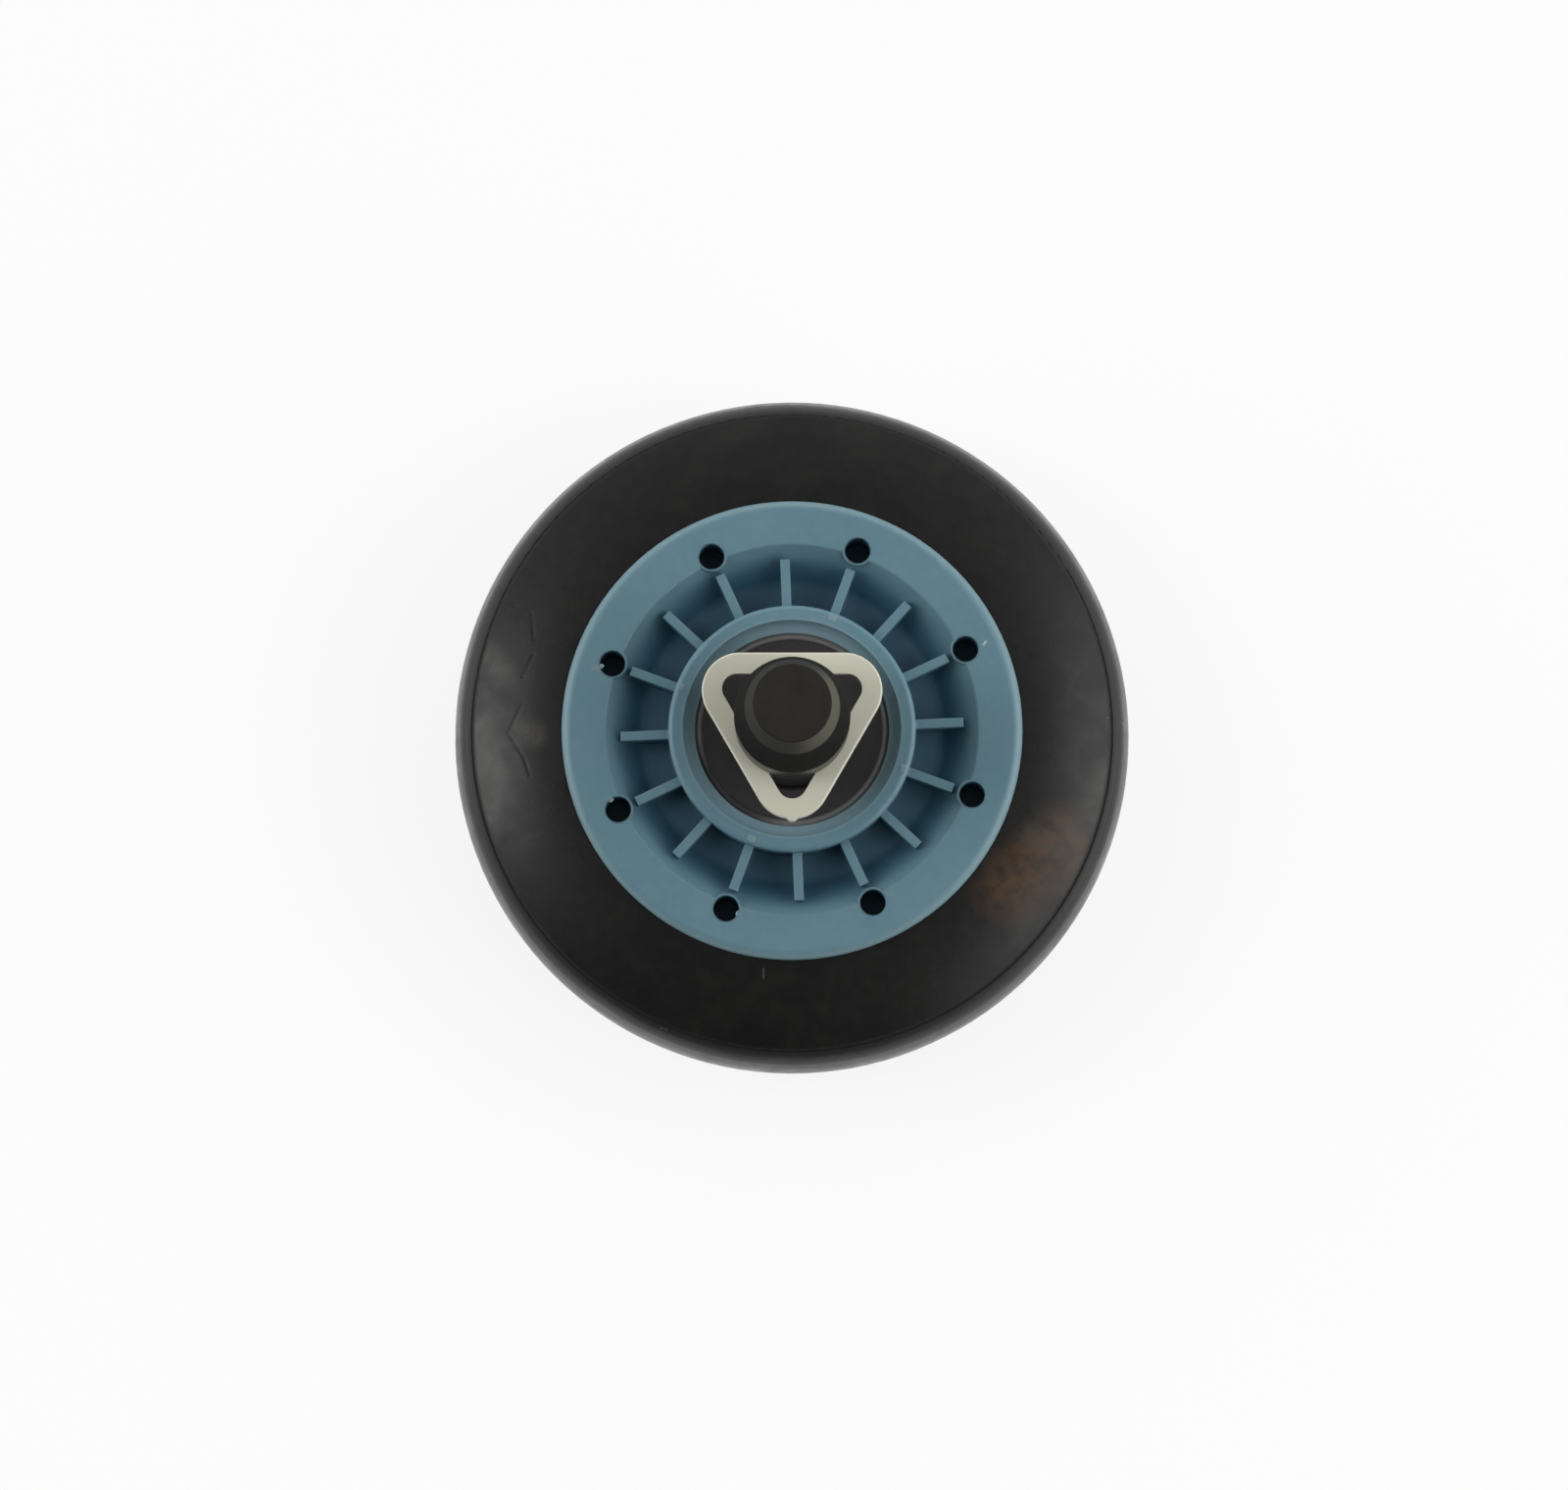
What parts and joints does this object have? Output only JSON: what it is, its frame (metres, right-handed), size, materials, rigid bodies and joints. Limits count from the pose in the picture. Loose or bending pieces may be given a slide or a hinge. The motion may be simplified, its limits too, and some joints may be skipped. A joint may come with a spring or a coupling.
{
  "type": "dryer drum roller",
  "caption": "Drum support roller for a tumble dryer: rubber tyre on a ribbed plastic hub with a sintered bush, turning on a collared steel shaft behind a triangular retaining ring.",
  "frame": {"origin": "on the shaft's axis, in the plane of the rear ends of the hub's boss and of the shaft, on which the roller stands", "axes": "+Z along the shaft towards its tapered nose; seen from the nose, +X is right and the retaining ring's point is towards -Y"},
  "size_m": [0.0832, 0.0832, 0.0501],
  "materials": {
    "tyre_rubber": "moulded black rubber, satin with faint scuffs",
    "hub_plastic": "moulded grey-blue plastic, satin",
    "sintered_iron": "sintered iron, dark and oil-soaked",
    "shaft_steel": "turned steel, blackened and oiled",
    "white_plastic": "moulded off-white plastic, satin"
  },
  "bodies": {
    "axle": {"shaft": "shaft_steel", "retaining_ring": "white_plastic"},
    "washer": {"thrust_washer": "white_plastic"},
    "wheel": {"hub": "hub_plastic", "tyre": "tyre_rubber", "bush": "sintered_iron"}
  },
  "joints": [
    {"name": "axial_float", "type": "slide", "parent": "axle", "child": "washer", "axis": [0, 0, 1], "range_m": [0, 0.0092]},
    {"name": "roller_spin", "type": "hinge", "parent": "washer", "child": "wheel", "pos_m": [0, 0, 0.0106], "axis": [0, 0, 1], "continuous": true}
  ]
}
